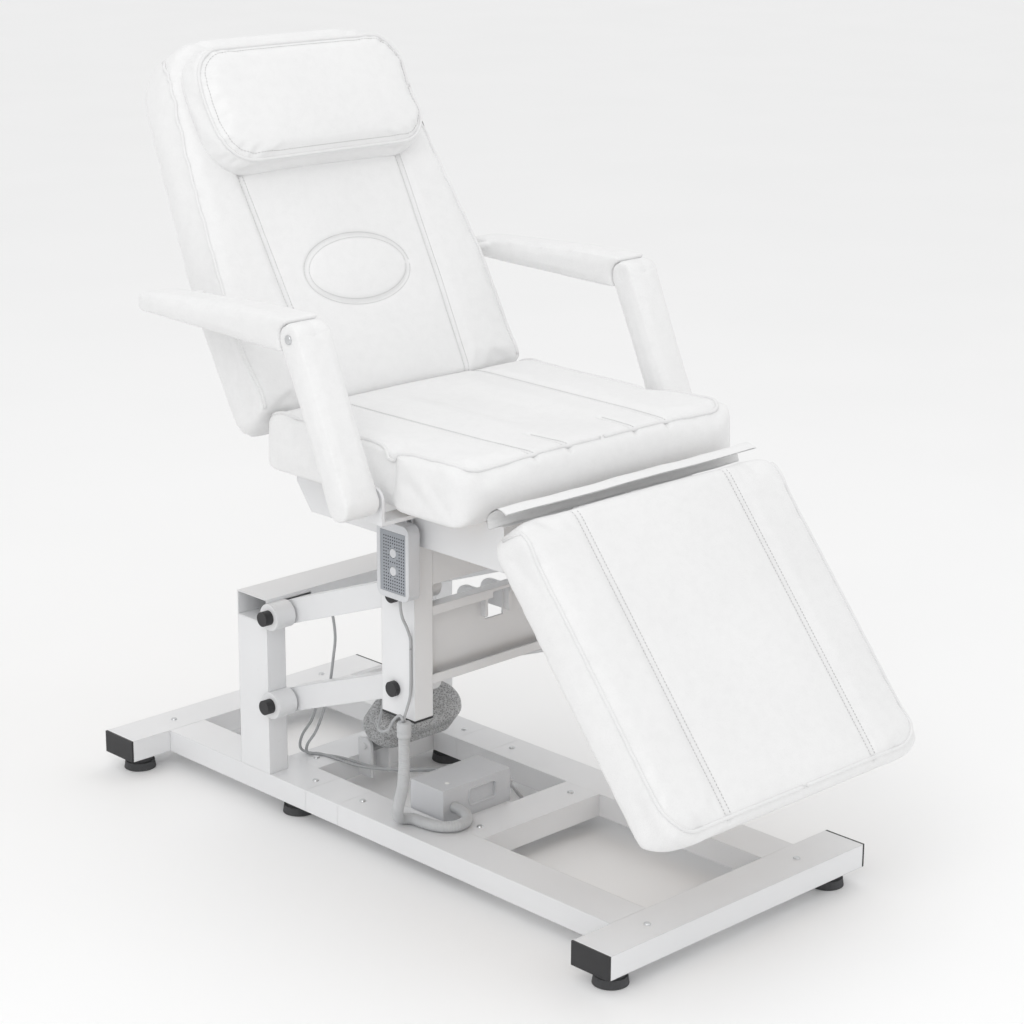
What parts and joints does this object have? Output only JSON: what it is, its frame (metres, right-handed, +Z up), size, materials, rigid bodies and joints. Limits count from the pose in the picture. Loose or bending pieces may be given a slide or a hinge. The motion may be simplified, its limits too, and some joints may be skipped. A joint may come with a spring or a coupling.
{
  "type": "facial treatment bed",
  "caption": "Height-adjustable facial treatment bed with a reclining backrest, hinged legrest, folding armrests, sliding head pillow and wired handset on a parallelogram lift.",
  "frame": {"origin": "on the floor, under the middle of the bed at rest, its free mains cord not counted", "axes": "+Z up; the foot end and the legrest point along -Y and the head end along +Y; +X is the side of the bed on the right hand of a person standing at the foot end and facing it"},
  "size_m": [0.81, 1.3898, 1.3286],
  "materials": {
    "white_steel": "satin",
    "zinc_steel": "satin",
    "polished_rod": "polished",
    "black_plastic": "matte",
    "leveler_rubber": "matte",
    "light_plastic": "satin",
    "keypad_grey": "matte",
    "motor_grey": "matte",
    "spring_black": "satin",
    "plywood": "matte",
    "white_vinyl": "satin",
    "lead_grey": "matte",
    "hose_pale": "matte",
    "mains_pale": "matte"
  },
  "bodies": {
    "base": {"foot_tubes": "white_steel", "rail_tubes": "white_steel", "cross_tubes": "white_steel", "left_rear_post": "white_steel", "right_rear_post": "white_steel", "arch_beam": "white_steel", "pivot_bosses": "white_steel", "foot_end_caps": "black_plastic", "leveling_feet": "leveler_rubber", "frame_screws": "zinc_steel", "base_brackets": "white_steel", "control_box": "light_plastic", "rear_pivot_bolts": "zinc_steel", "rear_bolt_caps": "black_plastic", "arm_leads": "lead_grey", "mains_cord": "mains_pale", "mains_coil": "mains_pale", "mains_plug": "light_plastic"},
    "lower_arms": {"left_lower_arm": "white_steel", "right_lower_arm": "white_steel", "lower_arm_tie": "white_steel", "motor_lead": "lead_grey", "hose": "hose_pale"},
    "upper_arms": {"left_upper_arm": "white_steel", "right_upper_arm": "white_steel"},
    "carriage": {"left_carriage_post": "white_steel", "right_carriage_post": "white_steel", "carriage_channel": "white_steel", "carriage_plate": "white_steel", "carriage_caps": "black_plastic", "carriage_bolts": "zinc_steel", "seat_frame": "white_steel", "seat_board": "plywood", "seat_cushion": "white_vinyl", "handset_holder": "light_plastic", "lead_tail": "lead_grey"},
    "actuator": {"actuator_motor": "motor_grey"},
    "actuator_ram": {"actuator_rod": "polished_rod"},
    "backrest": {"back_frame": "white_steel", "back_board": "plywood", "back_cushion": "white_vinyl", "strap_buckle": "black_plastic"},
    "pillow": {"head_pillow": "white_vinyl"},
    "left_post": {"left_arm_post": "white_vinyl"},
    "right_post": {"right_arm_post": "white_vinyl"},
    "left_pad": {"left_arm_pad": "white_vinyl"},
    "right_pad": {"right_arm_pad": "white_vinyl"},
    "back_spring": {"back_spring_cylinder": "spring_black"},
    "back_spring_piston": {"back_spring_rod": "polished_rod"},
    "legrest": {"leg_frame": "white_steel", "leg_board": "plywood", "leg_cushion": "white_vinyl", "gap_flap": "white_vinyl"},
    "leg_spring": {"leg_spring_cylinder": "spring_black"},
    "leg_spring_piston": {"leg_spring_rod": "polished_rod"},
    "handset": {"handset_shell": "light_plastic", "handset_keypad": "keypad_grey", "handset_lead": "lead_grey"},
    "up_key": {"up_button": "light_plastic"},
    "down_key": {"down_button": "light_plastic"}
  },
  "joints": [
    {"name": "lift", "type": "hinge", "parent": "base", "child": "lower_arms", "pos_m": [0, 0.318, 0.2], "axis": [-1, 0, 0], "range_deg": [-32, 22], "deforming": ["hose", "lead_tail", "arm_leads"]},
    {"name": "upper_arms_swing", "type": "hinge", "parent": "base", "child": "upper_arms", "pos_m": [0, 0.318, 0.362], "axis": [-1, 0, 0], "range_deg": [-32, 22]},
    {"name": "carriage_level", "type": "hinge", "parent": "lower_arms", "child": "carriage", "pos_m": [0, -0.0082, 0.3213], "axis": [-1, 0, 0], "range_deg": [-22, 32]},
    {"name": "actuator_swing", "type": "hinge", "parent": "base", "child": "actuator", "pos_m": [-0.02, 0.271, 0.092], "axis": [-1, 0, 0], "range_deg": [-22, 15.2]},
    {"name": "actuator_stroke", "type": "slide", "parent": "actuator", "child": "actuator_ram", "axis": [0, -0.616, 0.7877], "range_m": [-0.107, 0.074]},
    {"name": "backrest_recline", "type": "hinge", "parent": "carriage", "child": "backrest", "pos_m": [0, 0.247, 0.69], "axis": [-1, 0, 0], "range_deg": [0, 60.3]},
    {"name": "pillow_slide", "type": "slide", "parent": "backrest", "child": "pillow", "axis": [0, -0.4955, -0.8686], "range_m": [0, 0.08]},
    {"name": "left_post_swing", "type": "hinge", "parent": "carriage", "child": "left_post", "pos_m": [-0.36, -0.087, 0.682], "axis": [-1, 0, 0], "range_deg": [0, 60.3]},
    {"name": "right_post_swing", "type": "hinge", "parent": "carriage", "child": "right_post", "pos_m": [0.36, -0.087, 0.682], "axis": [-1, 0, 0], "range_deg": [0, 60.3]},
    {"name": "left_elbow", "type": "hinge", "parent": "left_post", "child": "left_pad", "pos_m": [-0.37, 0.022, 0.928], "axis": [-1, 0, 0], "range_deg": [-60.3, 0]},
    {"name": "right_elbow", "type": "hinge", "parent": "right_post", "child": "right_pad", "pos_m": [0.37, 0.022, 0.928], "axis": [-1, 0, 0], "range_deg": [-60.3, 0]},
    {"name": "back_spring_swing", "type": "hinge", "parent": "carriage", "child": "back_spring", "pos_m": [0, 0.008, 0.586], "axis": [-1, 0, 0], "range_deg": [-9.8, 0]},
    {"name": "back_spring_stroke", "type": "slide", "parent": "back_spring", "child": "back_spring_piston", "axis": [0, 0.9961, 0.088], "range_m": [-0.074, 0]},
    {"name": "legrest_raise", "type": "hinge", "parent": "carriage", "child": "legrest", "pos_m": [0, -0.274, 0.65], "axis": [-1, 0, 0], "range_deg": [0, 51], "deforming": ["gap_flap"]},
    {"name": "leg_spring_swing", "type": "hinge", "parent": "carriage", "child": "leg_spring", "pos_m": [0, -0.149, 0.6], "axis": [-1, 0, 0], "range_deg": [0, 23.7]},
    {"name": "leg_spring_stroke", "type": "slide", "parent": "leg_spring", "child": "leg_spring_piston", "axis": [0, -0.9679, -0.2513], "range_m": [0, 0.054]},
    {"name": "handset_lift", "type": "slide", "parent": "carriage", "child": "handset", "axis": [0, 0, 1], "range_m": [0, 0.011], "deforming": ["handset_lead"]},
    {"name": "up_press", "type": "slide", "parent": "handset", "child": "up_key", "axis": [1, 0, 0], "range_m": [0, 0.0015], "stiffness_N_per_m": 300, "springref_m": -0.001},
    {"name": "down_press", "type": "slide", "parent": "handset", "child": "down_key", "axis": [1, 0, 0], "range_m": [0, 0.0015], "stiffness_N_per_m": 300, "springref_m": -0.001}
  ],
  "couplings": [
    {"joint": "upper_arms_swing", "follows": "lift", "ratio": 1},
    {"joint": "carriage_level", "follows": "lift", "ratio": -1},
    {"joint": "actuator_swing", "follows": "lift", "ratio": 0.6865},
    {"joint": "actuator_stroke", "follows": "lift", "m_per_rad": 0.19099},
    {"joint": "left_post_swing", "follows": "backrest_recline", "ratio": 1},
    {"joint": "right_post_swing", "follows": "backrest_recline", "ratio": 1},
    {"joint": "left_elbow", "follows": "backrest_recline", "ratio": -1},
    {"joint": "right_elbow", "follows": "backrest_recline", "ratio": -1},
    {"joint": "back_spring_swing", "follows": "backrest_recline", "ratio": -0.1624},
    {"joint": "back_spring_stroke", "follows": "backrest_recline", "m_per_rad": -0.0701},
    {"joint": "leg_spring_swing", "follows": "legrest_raise", "ratio": 0.4634},
    {"joint": "leg_spring_stroke", "follows": "legrest_raise", "m_per_rad": 0.05976}
  ]
}
